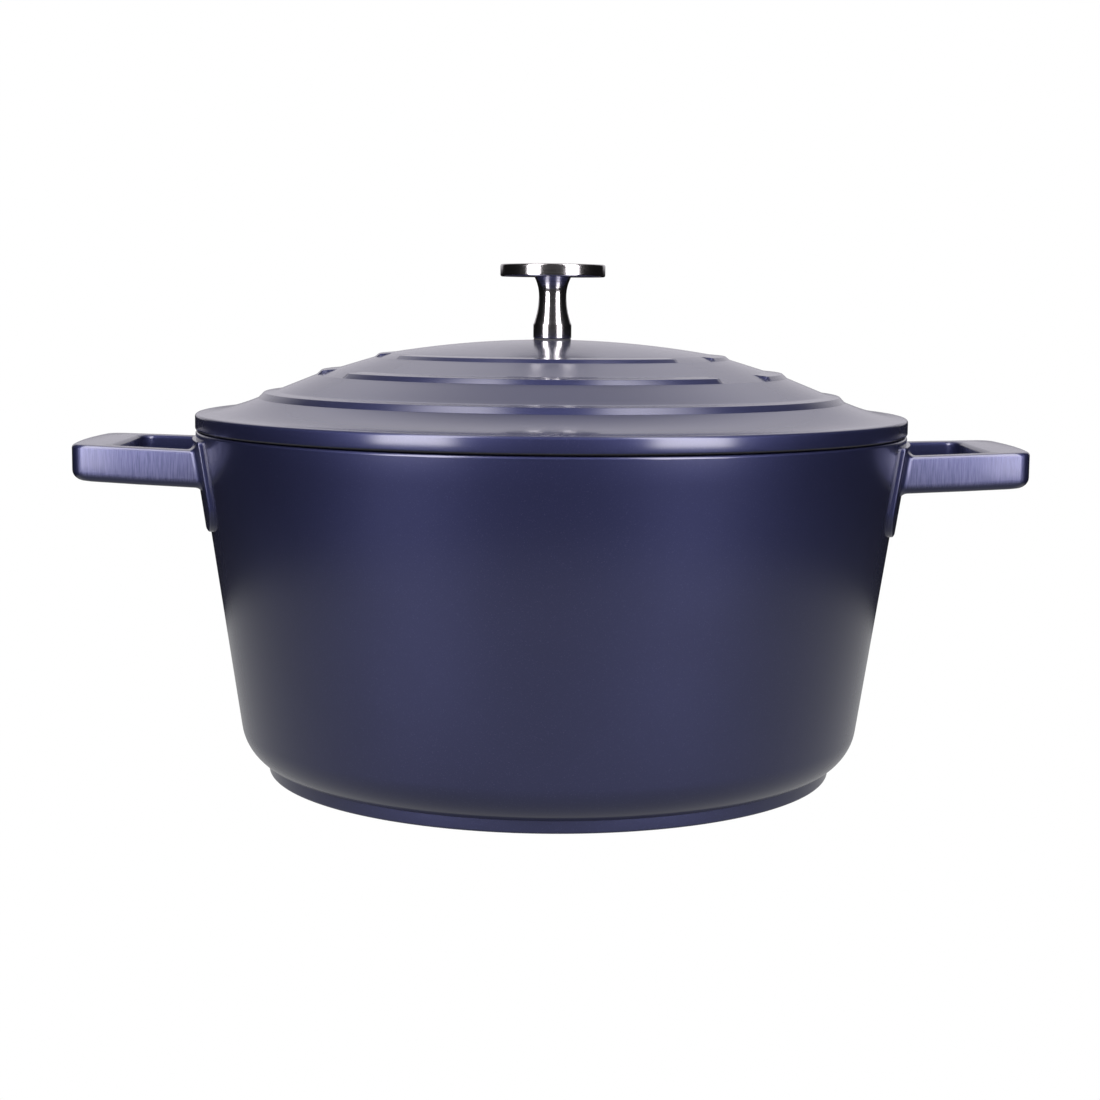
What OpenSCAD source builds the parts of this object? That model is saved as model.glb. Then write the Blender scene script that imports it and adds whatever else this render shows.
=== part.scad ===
// Round dutch oven, 24 cm across the inside of the rim: a cast pot with two loop handles,
// a stepped cast lid that rests on the rim, and a turned steel knob screwed on from below.
// Sizes are in millimetres. Z is up, the pot stands on z = 0 and the handles lie along X.

/* [Pot] */
// Outside radius of the rim
rim_r = 123.5; // [100:0.5:150]
// Height of the rim above the table
pot_h = 119.3; // [90:0.5:150]
// Lean of the wall from upright, in degrees
wall_draft = 8.3; // [3:0.1:11]
// Thickness of the wall
wall_t = 3.5; // [2.5:0.1:5]
// Height of the cooking floor above the table
floor_z = 6; // [4.5:0.1:8]
// Radius of the outside bottom corner
corner_r = 16; // [10:0.5:22]
// How far the outside corner turns under, in degrees below level
corner_sweep = 66; // [50:1:80]
// Radius of the inside bottom corner
inside_corner_r = 12; // [6:0.5:18]
// Height of the foot ring
foot_h = 4.2; // [2.5:0.1:6]
// Width of the foot ring
foot_w = 15; // [8:0.5:24]
// Rounding of the rim's outer edge
rim_round = 0.8; // [0.3:0.1:1.2]
// Chamfer of the rim's inner edge
rim_chamfer = 0.5; // [0.2:0.1:0.8]

/* [Handles] */
// Reach of each handle past the rim
handle_reach = 40.4; // [28:0.1:55]
// Width of the handle where it meets the pot
handle_root_w = 75; // [55:0.5:95]
// Width of the handle at its tip
handle_tip_w = 63; // [46:0.5:80]
// Thickness of each arm
arm_t = 7.3; // [5:0.1:10]
// Depth of the grip bar
grip_t = 14.8; // [10:0.1:20]
// Height of the handle where it meets the pot
handle_h_root = 12.6; // [9:0.1:18]
// Height of the handle at its tip
handle_h_tip = 12.3; // [8:0.1:18]
// Distance of the handle's top below the rim, at the pot
handle_drop = 5.6; // [3:0.1:12]
// Rise of the handle's top towards its tip, in degrees
handle_rise = 1.9; // [0:0.1:6]
// Outside corner radius of the handle
handle_corner_r = 6; // [4:0.5:14]
// Corner radius of the finger hole
hole_corner_r = 6; // [2:0.5:9]
// Bow of the tip's edge
handle_bow = 2; // [0.3:0.1:3]

/* [Handle pads] */
// Width of the pad on the wall behind each handle
pad_w = 82; // [60:0.5:105]
// How far the pad stands out of the wall
pad_t = 1.5; // [0.8:0.1:3]
// Distance of the pad's upper edge below the rim
pad_drop = 2.4; // [1:0.1:5]
// Height of the pad
pad_h = 31; // [22:0.5:50]
// Radius of the pad's lower corners
pad_corner_r = 9; // [4:0.5:14]

/* [Induction plate] */
// Thickness of the steel plate
plate_t = 0.8; // [0.5:0.1:1.5]
// Distance of the plate's face above the table
plate_inset = 0.2; // [0:0.1:0.5]
// Radius of the holes in the plate
plate_hole_r = 2.5; // [1.5:0.1:3.5]
// Distance between the rings of holes
plate_hole_pitch = 17; // [12:0.5:24]

/* [Lid] */
// Gap between the pot's rim and the lid's seat
seat_gap = 0.3; // [0.2:0.05:0.6]
// Height of the lid's upright edge band, seat to top edge
lid_band_h = 5.6; // [4:0.1:8]
// Thickness of the lid's dome
lid_t = 3.2; // [2.4:0.1:4.5]
// Chamfer of the lid's lower outside edge
lid_seat_chamfer = 0.9; // [0.2:0.1:1]
// Rounding of the lid's upper outside edge
lid_edge_round = 1.0; // [0.4:0.1:1.6]
// Distance of the outer ridge's foot from the lid's edge
edge_run = 21.5; // [16:0.5:28]
// Height gained between the lid's edge and the outer ridge
edge_rise = 5.1; // [3:0.1:8]
// Distance between one ridge's foot and the next
ridge_pitch = 20; // [16:0.5:24]
// Slope of the dome between the outer and the middle ridge, in degrees
outer_slope = 22; // [14:0.5:28]
// Slope of the dome between the middle and the inner ridge, in degrees
inner_slope = 17; // [10:0.5:22]
// Rise of the cap of the dome inside the inner ridge
cap_rise = 4.9; // [3:0.1:9]
// Width of the three gaps in the middle and inner ridges, in degrees
ridge_gap = 17.4; // [10:0.2:40]
// Turn of the lid on the pot, in degrees
lid_turn = -8; // [-60:1:60]
// Depth of the locating skirt below the seat
skirt_h = 5; // [3:0.5:9]
// Thickness of the skirt
skirt_t = 2.5; // [1.8:0.1:4]
// Smallest gap between the skirt and the pot's wall
skirt_clear = 0.6; // [0.4:0.1:1.5]
// Depth of the drip rings under the dome
drip_h = 1.6; // [0.8:0.1:2.5]

/* [Knob] */
// Radius of the knob's disc
knob_r = 18.3; // [14:0.1:26]
// Thickness of the knob's disc
knob_t = 4.65; // [3.8:0.05:8]
// Height of the knob's stem, gasket to disc
stem_h = 21.4; // [17:0.1:32]
// Radius of the stem's foot
stem_foot_r = 6.65; // [5.5:0.05:9]
// Height of the straight part of the stem's foot
stem_foot_h = 4.9; // [3:0.1:7]
// Radius of the stem's waist
stem_waist_r = 4.8; // [4:0.05:6]
// Distance of the waist below the disc
stem_waist_drop = 6.4; // [4:0.1:9]
// Radius of the stem under the disc
stem_top_r = 6.4; // [5.5:0.05:9]
// Radius of the spigot that holds the disc
spigot_r = 3.2; // [2.2:0.1:4]
// Length of the spigot
spigot_h = 2.6; // [1.5:0.1:3.2]

/* [Fixing] */
// Radius of the screw's thread
screw_r = 2.5; // [2:0.1:3]
// Length of thread inside the stem
screw_grip = 9; // [6:0.5:11]
// Radius of the screw's head
screw_head_r = 4.8; // [4:0.1:6]
// Height of the screw's head
screw_head_h = 3; // [2:0.1:4]
// Radial clearance of the screw in the lid, the washers and the gasket
screw_clear = 0.25; // [0.1:0.05:0.5]
// Radial clearance of the thread in the stem
thread_clear = 0.05; // [0.02:0.01:0.1]
// Radius of the flat washer
washer_r = 7.5; // [6:0.1:9]
// Thickness of the flat washer
washer_t = 1; // [0.6:0.1:1.6]
// Thickness of the split washer
split_t = 1.2; // [0.8:0.1:1.8]
// Width of the cut through the split washer
split_gap = 1; // [0.5:0.1:1.6]
// Thickness of the gasket under the stem
gasket_t = 0.8; // [0.5:0.1:1.5]
// Depth of the seat for the gasket in the lid
gasket_seat = 0.4; // [0.2:0.1:0.8]
// Height of the boss under the middle of the lid
boss_h = 1.5; // [0.8:0.1:3]

/* [Hidden] */
$fn = 96;
// Cuts run this far past the faces that they open
over = 1;

// Points of an arc in the r, z plane
function arc(cx, cz, r, from, to, steps = 8) =
    [for (i = [0:steps]) let (a = from + (to - from) * i / steps) [cx + r * cos(a), cz + r * sin(a)]];

// Outside and inside radius of the pot's wall at height z
function wall_r(z) = rim_r - tan(wall_draft) * (pot_h - z);
function cavity_r(z) = wall_r(z) - wall_t / cos(wall_draft);

corner_z = foot_h + corner_r * sin(corner_sweep);
corner_x = wall_r(corner_z) - corner_r / cos(wall_draft);
foot_r = corner_x + corner_r * cos(corner_sweep);
foot_edge = 0.6;
root_reach = 22;
rim_round_z = pot_h - rim_round;
rim_round_x = wall_r(rim_round_z) - rim_round / cos(wall_draft);
inside_corner_z = floor_z + inside_corner_r;
inside_corner_x = cavity_r(inside_corner_z) - inside_corner_r / cos(wall_draft);
plate_r = foot_r - foot_w;

handle_top_z = pot_h - handle_drop;
handle_tip_x = rim_r + handle_reach;
handle_inner_x = wall_r(handle_top_z) - root_reach;
arm_turn = atan((handle_root_w - handle_tip_w) / 2 / handle_reach);
handle_bow_r = (pow(handle_tip_w / 2 - handle_corner_r, 2) + pow(handle_bow, 2)) / (2 * handle_bow);
pad_top_z = pot_h - pad_drop;
pad_low_z = pad_top_z - pad_h;

lid_r = rim_r;
seat_z = pot_h + seat_gap;
band_top_z = seat_z + lid_band_h;
ridge_foot_r = [for (i = [0:2]) lid_r - edge_run - i * ridge_pitch];
ridge_foot_z = [
    band_top_z + edge_rise,
    band_top_z + edge_rise + ridge_pitch * tan(outer_slope),
    band_top_z + edge_rise + ridge_pitch * (tan(outer_slope) + tan(inner_slope))
];
ridge_h = [2.0, 1.6, 1.2];
ridge_face = [1.9, 1.7, 1.5];
ridge_back = [6.1, 6.9, 5.7];
cap_step = 5;
cap_lift = 1.4;
cap_r = ridge_foot_r[2] - cap_step;
cap_z = ridge_foot_z[2] + cap_lift;
cap_sphere_r = (pow(cap_r, 2) + pow(cap_rise, 2)) / (2 * cap_rise);
apex_z = cap_z + cap_rise;
edge_sweep_r = lid_r - lid_edge_round;
edge_power = 1.7;
skirt_low_z = seat_z - skirt_h;
skirt_r = cavity_r(skirt_low_z) - skirt_clear;

// The top of the lid without its ridges, as [radius, height] from the middle outwards
lid_curve = concat(
    [for (i = [0:10]) let (r = cap_r * i / 10)
        [r, apex_z - cap_sphere_r + sqrt(pow(cap_sphere_r, 2) - r * r)]],
    [for (i = [2:-1:0]) [ridge_foot_r[i], ridge_foot_z[i]]],
    [for (i = [7:-1:0]) let (s = i / 8) [edge_sweep_r - s * (edge_sweep_r - ridge_foot_r[0]),
        band_top_z + edge_rise * pow(s, edge_power)]]
);
function lid_z(r) = lookup(r, lid_curve);

boss_margin = 2;
boss_flare = 1;
boss_r = washer_r + boss_margin;
boss_z = apex_z - lid_t - boss_h;
gasket_z = apex_z - gasket_seat;
stem_z = gasket_z + gasket_t;
stem_top_z = stem_z + stem_h;
stem_waist_z = stem_top_z - stem_waist_drop;
stem_foot_top_z = stem_z + stem_foot_h;
stem_chamfer = 0.5;
thread_runout = 1;
gasket_trim = 0.1;
split_trim = 0.2;
washer_z = boss_z - washer_t;
split_z = washer_z - split_t;
screw_hole_r = screw_r + screw_clear;

module spun(points) {
    rotate_extrude() polygon(points);
}

module pot_outside() {
    spun(concat(
        [[0, 0]],
        arc(foot_r - foot_edge, foot_edge, foot_edge, -90, 0, 4),
        [[foot_r, foot_h]],
        arc(corner_x, corner_z, corner_r, -corner_sweep, -wall_draft, 12),
        arc(rim_round_x, rim_round_z, rim_round, -wall_draft, 90, 5),
        [[0, pot_h]]
    ));
}

module pot_cavity() {
    spun(concat(
        [[0, floor_z]],
        arc(inside_corner_x, inside_corner_z, inside_corner_r, -90, -wall_draft, 12),
        [[cavity_r(pot_h - rim_chamfer), pot_h - rim_chamfer],
        [cavity_r(pot_h) + rim_chamfer, pot_h],
        [cavity_r(pot_h) + rim_chamfer, pot_h + over],
        [0, pot_h + over]]
    ));
}

// Half width of the handle's outline at distance x from the middle of the pot
function handle_half_w(x) = handle_root_w / 2 - tan(arm_turn) * (x - rim_r);

// A handle's outline from back_x to its tip, with its arms and tip moved in by the given amounts
module handle_outline(back_x, arm_in, tip_in, corner) {
    cx = handle_tip_x - tip_in - corner;
    cy = handle_half_w(cx) - (arm_in + corner) / cos(arm_turn);
    root_y = handle_half_w(back_x) - arm_in / cos(arm_turn);
    polygon(concat(
        [[back_x, -root_y]],
        arc(cx, -cy, corner, arm_turn - 90, 0, 6),
        arc(cx, cy, corner, 0, 90 - arm_turn, 6),
        [[back_x, root_y]]
    ));
}

module handle_plan() {
    difference() {
        intersection() {
            handle_outline(handle_inner_x, 0, 0, handle_corner_r);
            translate([handle_tip_x - handle_bow_r, 0]) circle(r = handle_bow_r, $fn = 360);
        }
        handle_outline(handle_inner_x - over, arm_t, grip_t, hole_corner_r);
    }
}

// The handle seen from the side: level at the pot, rising towards its tip
module handle_side() {
    run = handle_tip_x - rim_r;
    back = rim_r - handle_inner_x;
    top_slope = tan(handle_rise);
    low_slope = top_slope + (handle_h_root - handle_h_tip) / run;
    polygon([
        [handle_inner_x - over, handle_top_z - top_slope * (back + over)],
        [handle_inner_x - over, handle_top_z - handle_h_root - low_slope * (back + over)],
        [handle_tip_x + over, handle_top_z - handle_h_root + low_slope * (run + over)],
        [handle_tip_x + over, handle_top_z + top_slope * (run + over)]
    ]);
}

module loop_handle() {
    intersection() {
        translate([0, 0, handle_top_z - 2 * handle_h_root])
            linear_extrude(4 * handle_h_root) handle_plan();
        rotate([90, 0, 0]) linear_extrude(2 * handle_root_w, center = true) handle_side();
    }
}

module pad_face() {
    square_w = pad_w - 2 * pad_corner_r;
    translate([-pad_w / 2, pad_low_z + pad_corner_r]) square([pad_w, pad_h - pad_corner_r]);
    translate([-square_w / 2, pad_low_z]) square([square_w, pad_h]);
    for (side = [-1, 1])
        translate([side * square_w / 2, pad_low_z + pad_corner_r]) circle(r = pad_corner_r);
}

module handle_pad() {
    core_r = cavity_r(pad_low_z) - over;
    low_z = pad_low_z - over;
    intersection() {
        spun([
            [core_r, low_z], [wall_r(low_z) + pad_t, low_z],
            [wall_r(pad_top_z) + pad_t, pad_top_z], [core_r, pad_top_z]
        ]);
        rotate([90, 0, 90]) linear_extrude(2 * rim_r) pad_face();
    }
}

module pot_body() {
    color([0.13, 0.13, 0.27]) difference() {
        union() {
            pot_outside();
            for (side = [0, 1]) mirror([side, 0, 0]) {
                loop_handle();
                handle_pad();
            }
        }
        pot_cavity();
        translate([0, 0, -over]) cylinder(r = plate_r, h = plate_inset + plate_t + over);
    }
}

module induction_plate() {
    rings = floor((plate_r - 2 * plate_hole_r) / plate_hole_pitch);
    color([0.62, 0.62, 0.64]) difference() {
        translate([0, 0, plate_inset]) cylinder(r = plate_r, h = plate_t);
        for (ring = [1:rings], k = [0:6 * ring - 1])
            rotate([0, 0, 60 * k / ring]) translate([ring * plate_hole_pitch, 0, 0])
                cylinder(r = plate_hole_r, h = plate_inset + plate_t + over, $fn = 32);
    }
}

// The body of the lid: dome, edge band, skirt and the boss for the knob's screw
module lid_dome() {
    skirt_in = skirt_r - skirt_t;
    boss_foot_r = boss_r + boss_flare;
    under = [for (p = lid_curve) if (p[0] > boss_foot_r && p[0] < skirt_in - 0.5) [p[0], p[1] - lid_t]];
    top = [for (i = [len(lid_curve) - 1:-1:0]) lid_curve[i]];
    spun(concat(
        [[0, boss_z], [boss_r, boss_z], [boss_foot_r, lid_z(boss_foot_r) - lid_t]],
        under,
        [[skirt_in, lid_z(skirt_in) - lid_t], [skirt_in, skirt_low_z],
        [skirt_r, skirt_low_z], [skirt_r, seat_z],
        [lid_r - lid_seat_chamfer, seat_z], [lid_r, seat_z + lid_seat_chamfer]],
        arc(lid_r - lid_edge_round, band_top_z - lid_edge_round, lid_edge_round, 0, 80, 4),
        top
    ));
}

// One ridge: a sloped face, a crisp top edge and a long back that runs into the dome
module ridge(i) {
    foot = ridge_foot_r[i];
    back = foot - ridge_back[i];
    spun([
        [foot, ridge_foot_z[i]],
        [foot - ridge_face[i], ridge_foot_z[i] + ridge_h[i]],
        [back, lid_z(back)],
        [back, lid_z(back) - lid_t / 2],
        [foot, ridge_foot_z[i] - lid_t / 2]
    ]);
}

// Three gaps with sloped ends, cut through a ridge
module ridge_gaps(i) {
    half = ridge_foot_r[i] * sin(ridge_gap / 2);
    low = ridge_foot_z[i] - lid_t;
    high = ridge_foot_z[i] + 2 * lid_t;
    slope = ridge_h[i] + lid_t;
    for (k = [0:2])
        rotate([0, 0, 90 + 120 * k]) translate([ridge_foot_r[i] - 3 * ridge_back[i], 0, 0])
            rotate([90, 0, 90]) linear_extrude(4 * ridge_back[i])
                polygon([[-half, low], [half, low], [half + slope, high], [-half - slope, high]]);
}

module drip_ring(r) {
    half = 1.4;
    root = 1;
    edge = 0.2;
    z = lid_z(r) - lid_t;
    spun([
        [r - half, z + root], [r + half, z + root], [r + half, z - edge],
        [r, z - drip_h], [r - half, z - edge]
    ]);
}

module lid_shell() {
    color([0.15, 0.15, 0.30]) rotate([0, 0, lid_turn]) difference() {
        union() {
            lid_dome();
            ridge(0);
            for (i = [1, 2]) difference() {
                ridge(i);
                ridge_gaps(i);
            }
            for (i = [0:2]) drip_ring(ridge_foot_r[i] - ridge_pitch / 2);
        }
        translate([0, 0, gasket_z]) cylinder(r = stem_foot_r + screw_clear, h = gasket_seat + over);
        cylinder(r = screw_hole_r, h = apex_z + over, $fn = 48);
    }
}

module knob_disc() {
    crown = 0.35;
    edge = 0.7;
    flat_r = 0.6 * knob_r;
    top_z = stem_top_z + knob_t;
    color([0.72, 0.72, 0.73]) difference() {
        spun([
            [0, stem_top_z], [knob_r - edge, stem_top_z], [knob_r, stem_top_z + edge],
            [knob_r, top_z - crown - edge], [knob_r - edge, top_z - crown],
            [flat_r, top_z - crown / 3], [0, top_z]
        ]);
        translate([0, 0, stem_top_z - over]) cylinder(r = spigot_r, h = spigot_h + over);
    }
}

module knob_stem() {
    foot_run = stem_waist_z - stem_foot_top_z;
    waist_to_foot = [for (i = [0:8]) let (s = 1 - i / 8)
        [stem_waist_r + (stem_foot_r - stem_waist_r) * s * s, stem_waist_z - foot_run * s]];
    waist_to_disc = [for (i = [1:6]) let (s = i / 6)
        [stem_waist_r + (stem_top_r - stem_waist_r) * s * s, stem_waist_z + stem_waist_drop * s]];
    color([0.72, 0.72, 0.73]) difference() {
        spun(concat(
            [[0, stem_z], [stem_foot_r - stem_chamfer, stem_z], [stem_foot_r, stem_z + stem_chamfer]],
            waist_to_foot,
            waist_to_disc,
            [[spigot_r, stem_top_z], [spigot_r, stem_top_z + spigot_h], [0, stem_top_z + spigot_h]]
        ));
        translate([0, 0, stem_z - over])
            cylinder(r = screw_r + thread_clear, h = screw_grip + thread_runout + over);
    }
}

module ring(outer, inner, z, h) {
    translate([0, 0, z]) difference() {
        cylinder(r = outer, h = h);
        translate([0, 0, -over]) cylinder(r = inner, h = h + 2 * over);
    }
}

module knob_gasket() {
    color([0.08, 0.08, 0.08]) ring(stem_foot_r - gasket_trim, screw_hole_r, gasket_z, gasket_t);
}

module flat_washer() {
    color([0.66, 0.66, 0.67]) ring(washer_r, screw_hole_r, washer_z, washer_t);
}

module lock_washer() {
    split_lean = 25;
    color([0.55, 0.55, 0.56]) difference() {
        ring(screw_head_r - split_trim, screw_hole_r, split_z, split_t);
        translate([screw_r, 0, split_z + split_t / 2]) rotate([split_lean, 0, 0])
            cube([2 * screw_head_r, split_gap, 4 * split_t], center = true);
    }
}

module knob_screw() {
    slot_w = 1.2;
    slot_run = 1.3 * screw_head_r;
    crown = 0.8;
    end_chamfer = 0.5;
    head_z = split_z - screw_head_h;
    end_z = stem_z + screw_grip;
    color([0.66, 0.66, 0.67]) difference() {
        spun([
            [0, head_z], [screw_head_r - 2 * crown, head_z],
            [screw_head_r - crown / 2, head_z + crown / 2], [screw_head_r, head_z + 2 * crown],
            [screw_head_r, split_z], [screw_r, split_z],
            [screw_r, end_z - end_chamfer], [screw_r - end_chamfer, end_z], [0, end_z]
        ]);
        for (turn = [0, 90])
            rotate([0, 0, turn]) translate([0, 0, head_z])
                cube([slot_run, slot_w, screw_head_h], center = true);
    }
}

pot_body();
induction_plate();
lid_shell();
knob_disc();
knob_stem();
knob_gasket();
flat_washer();
lock_washer();
knob_screw();
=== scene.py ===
"""Looks of a round dutch oven: a painted cast pot, its stepped lid and a turned steel knob.

Every size is in millimetres until a vertex is placed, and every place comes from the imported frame.
"""

import logging
import math
from collections.abc import Callable, Iterable, Sequence
from dataclasses import dataclass, field
from enum import Enum

import bpy
from mathutils import Matrix, Vector


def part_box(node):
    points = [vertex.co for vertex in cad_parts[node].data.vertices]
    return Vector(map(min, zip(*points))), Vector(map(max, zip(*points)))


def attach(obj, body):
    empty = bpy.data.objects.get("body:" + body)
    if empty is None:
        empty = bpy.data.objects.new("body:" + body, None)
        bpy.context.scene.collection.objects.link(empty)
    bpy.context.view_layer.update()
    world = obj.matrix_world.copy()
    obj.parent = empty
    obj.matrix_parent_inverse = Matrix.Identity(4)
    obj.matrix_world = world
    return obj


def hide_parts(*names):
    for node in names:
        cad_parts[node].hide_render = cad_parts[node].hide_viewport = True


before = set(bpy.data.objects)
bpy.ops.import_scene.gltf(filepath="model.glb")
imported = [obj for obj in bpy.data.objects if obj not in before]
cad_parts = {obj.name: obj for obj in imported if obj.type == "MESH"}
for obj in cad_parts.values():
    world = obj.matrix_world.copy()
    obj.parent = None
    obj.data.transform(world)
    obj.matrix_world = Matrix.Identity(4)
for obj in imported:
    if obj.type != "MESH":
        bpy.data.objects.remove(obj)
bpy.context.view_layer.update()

LOG = logging.getLogger("dutch_oven")
MM = 0.001
FULL_TURN = 360.0
Point = tuple[float, float]
Colour = tuple[float, float, float]


class Body(Enum):
    """The two bodies of the frame that pieces ride on."""

    POT = "pot"
    LID = "lid"


class Slot(Enum):
    """The record's material slots."""

    PAINT = "navy_paint"
    PLATE = "plate_steel"
    KNOB = "knob_steel"
    RUBBER = "gasket_rubber"
    FIXING = "fixing_steel"


# ---------------------------------------------------------------------------------------------
# Shaders
# ---------------------------------------------------------------------------------------------


@dataclass(frozen=True)
class Value:
    """A shader socket that takes part in sums."""

    shader: "Shader"
    socket: bpy.types.NodeSocket

    def _sum(self, operation: str, first: object, second: object) -> "Value":
        """Adds one Math node.

        Args:
            operation: The Math node's operation.
            first: Its first value.
            second: Its second value.

        Returns:
            The node's result.
        """
        return self.shader.node("ShaderNodeMath", {"operation": operation}, {0: first, 1: second})

    def __add__(self, other: object) -> "Value":
        """Sum."""
        return self._sum("ADD", self, other)

    def __radd__(self, other: object) -> "Value":
        """Reflected sum."""
        return self._sum("ADD", other, self)

    def __sub__(self, other: object) -> "Value":
        """Difference."""
        return self._sum("SUBTRACT", self, other)

    def __rsub__(self, other: object) -> "Value":
        """Reflected difference."""
        return self._sum("SUBTRACT", other, self)

    def __mul__(self, other: object) -> "Value":
        """Product."""
        return self._sum("MULTIPLY", self, other)

    def __rmul__(self, other: object) -> "Value":
        """Reflected product."""
        return self._sum("MULTIPLY", other, self)

    def __gt__(self, other: object) -> "Value":
        """One where this is greater than the other, else nought."""
        return self._sum("GREATER_THAN", self, other)

    def __abs__(self) -> "Value":
        """Size without sign."""
        return self.shader.node("ShaderNodeMath", {"operation": "ABSOLUTE"}, {0: self})


class Shader:
    """One node tree under construction, with a single way to add a node."""

    def __init__(self, tree: bpy.types.NodeTree) -> None:
        """Empties the tree.

        Args:
            tree: The tree of a material or of the world.
        """
        self.tree = tree
        tree.nodes.clear()

    def node(
        self,
        kind: str,
        settings: dict[str, object] | None = None,
        inputs: dict[int | str, object] | None = None,
        output: int | str = 0,
    ) -> Value | None:
        """Adds a node, sets it up and fills its sockets.

        Args:
            kind: The node's type.
            settings: Its own properties.
            inputs: A number, a tuple or a Value for each socket.
            output: Which output to hand back.

        Returns:
            The chosen output, or nothing for a node without outputs.
        """
        made = self.tree.nodes.new(kind)
        for key, value in (settings or {}).items():
            setattr(made, key, value)
        for key, value in (inputs or {}).items():
            if isinstance(value, Value):
                self.tree.links.new(value.socket, made.inputs[key])
            else:
                made.inputs[key].default_value = value
        return Value(self, made.outputs[output]) if made.outputs else None

    def place(self) -> Value:
        """The point on the piece, in metres."""
        return self.node("ShaderNodeTexCoord", output="Object")

    def axis(self, vector: Value, name: str) -> Value:
        """One component of a vector.

        Args:
            vector: The vector.
            name: X, Y or Z.

        Returns:
            The component.
        """
        return self.node("ShaderNodeSeparateXYZ", inputs={0: vector}, output=name)

    def vector(self, x: object, y: object, z: object) -> Value:
        """A vector from three values.

        Args:
            x: First component.
            y: Second component.
            z: Third component.

        Returns:
            The vector.
        """
        return self.node("ShaderNodeCombineXYZ", inputs={0: x, 1: y, 2: z})

    def noise(self, vector: Value, grain: float, detail: float = 2.0) -> Value:
        """Soft noise between nought and one.

        Args:
            vector: Where it is read.
            grain: Size of its lumps in millimetres.
            detail: How many finer layers it has.

        Returns:
            The noise.
        """
        inputs = {"Vector": vector, "Scale": 1.0 / (grain * MM), "Detail": detail}
        return self.node("ShaderNodeTexNoise", {"noise_dimensions": "3D"}, inputs)

    def step(self, value: Value, low: float, high: float) -> Value:
        """A smooth step.

        Args:
            value: What is compared.
            low: Where it leaves nought.
            high: Where it reaches one.

        Returns:
            A value between nought and one.
        """
        settings = {"interpolation_type": "SMOOTHSTEP", "clamp": True}
        inputs = {"Value": value, "From Min": low, "From Max": high}
        return self.node("ShaderNodeMapRange", settings, inputs)

    def window(self, value: Value, rise: tuple[float, float], fall: tuple[float, float]) -> Value:
        """One between two soft edges, nought outside them.

        Args:
            value: What is compared.
            rise: Where it leaves nought and where it reaches one.
            fall: Where it leaves one and where it reaches nought.

        Returns:
            A value between nought and one.
        """
        return self.step(value, *rise) * (1.0 - self.step(value, *fall))

    def mix(self, factor: object, first: object, second: object) -> Value:
        """A blend of two colours.

        Args:
            factor: How much of the second.
            first: The colour at nought.
            second: The colour at one.

        Returns:
            The colour.
        """
        colours = [c if isinstance(c, Value) else (*c, 1.0) for c in (first, second)]
        # A Mix node has one pair of A and B for each data type, so the colour pair goes by number
        inputs = {0: factor, 6: colours[0], 7: colours[1]}
        return self.node("ShaderNodeMix", {"data_type": "RGBA"}, inputs, output=2)

    def bump(self, height: Value, depth: float, strength: float = 1.0, under: Value | None = None) -> Value:
        """A bumped normal.

        Args:
            height: The relief, between nought and one.
            depth: Its depth in millimetres.
            strength: How strongly it acts.
            under: A normal that it adds to.

        Returns:
            The normal.
        """
        inputs = {"Strength": strength, "Distance": depth * MM, "Height": height}
        if under is not None:
            inputs["Normal"] = under
        return self.node("ShaderNodeBump", inputs=inputs)

    def scaled(self, vector: Value, by: tuple[float, float, float]) -> Value:
        """A vector stretched along the axes.

        Args:
            vector: The vector.
            by: The three factors.

        Returns:
            The stretched vector.
        """
        return self.node("ShaderNodeVectorMath", {"operation": "MULTIPLY"}, {0: vector, 1: by})

    def turned(self, place: Value) -> Value:
        """Coordinates that are the same all the way round Z, for marks left by turning.

        Args:
            place: The point on the piece.

        Returns:
            Radius and height as a vector.
        """
        flat = self.scaled(place, (1.0, 1.0, 0.0))
        radius = self.node("ShaderNodeVectorMath", {"operation": "LENGTH"}, {0: flat}, output="Value")
        return self.vector(radius, self.axis(place, "Z"), 0.0)


def material(name: str, surface: dict[str, object], dress: Callable[[Shader], dict[str, object]]) -> bpy.types.Material:
    """Makes a material on one principled surface.

    Args:
        name: The material's name.
        surface: Constants of the surface's own sockets.
        dress: Gives the sockets that vary over the surface.

    Returns:
        The material.
    """
    made = bpy.data.materials.new(name)
    made.use_nodes = True
    shader = Shader(made.node_tree)
    inputs = {**surface, **dress(shader)}
    principled = shader.node("ShaderNodeBsdfPrincipled", inputs=inputs)
    shader.node("ShaderNodeOutputMaterial", inputs={"Surface": principled})
    return made


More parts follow.
